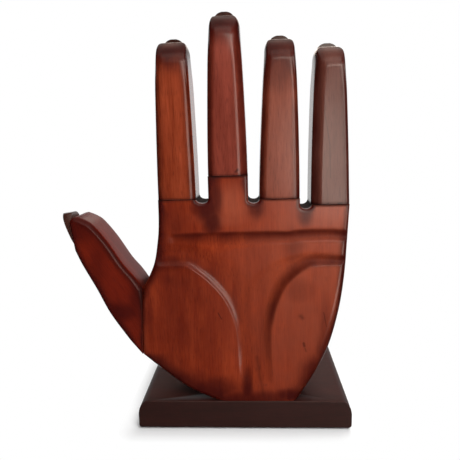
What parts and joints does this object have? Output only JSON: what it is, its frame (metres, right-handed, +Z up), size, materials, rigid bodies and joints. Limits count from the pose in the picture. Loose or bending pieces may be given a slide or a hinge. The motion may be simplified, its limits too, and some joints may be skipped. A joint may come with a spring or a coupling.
{
  "type": "hand-shaped bookstand",
  "caption": "Carved wooden left hand, palm forward, with glued-on fingers, thumb and nails, standing flush with the front of a felt-backed base board to hold up books.",
  "frame": {"origin": "centre of the base's felt underside", "axes": "+Z up towards the fingertips, +Y from the palm's face to the back of the base, +X from the thumb's side to the little finger's side"},
  "size_m": [0.1839, 0.1, 0.2649],
  "materials": {
    "hand_wood": "red mahogany stain under satin lacquer, darkened in the grooves and along the edges",
    "nail_wood": "very dark brown stain under satin lacquer",
    "base_wood": "dark brown stain under satin lacquer",
    "dowel_wood": "bare beech",
    "screw_steel": "bright zinc plate",
    "felt": "dark brown pressed wool felt"
  },
  "bodies": {
    "root": {"palm": "hand_wood", "index_finger": "hand_wood", "middle_finger": "hand_wood", "ring_finger": "hand_wood", "little_finger": "hand_wood", "thumb": "hand_wood", "index_nail": "nail_wood", "middle_nail": "nail_wood", "ring_nail": "nail_wood", "little_nail": "nail_wood", "thumb_nail": "nail_wood", "index_dowel_front": "dowel_wood", "index_dowel_back": "dowel_wood", "middle_dowel_front": "dowel_wood", "middle_dowel_back": "dowel_wood", "ring_dowel_front": "dowel_wood", "ring_dowel_back": "dowel_wood", "little_dowel_front": "dowel_wood", "little_dowel_back": "dowel_wood", "thumb_dowel_upper": "dowel_wood", "thumb_dowel_lower": "dowel_wood", "base": "base_wood", "screw_thumb_side": "screw_steel", "screw_little_side": "screw_steel", "felt": "felt"}
  },
  "joints": []
}
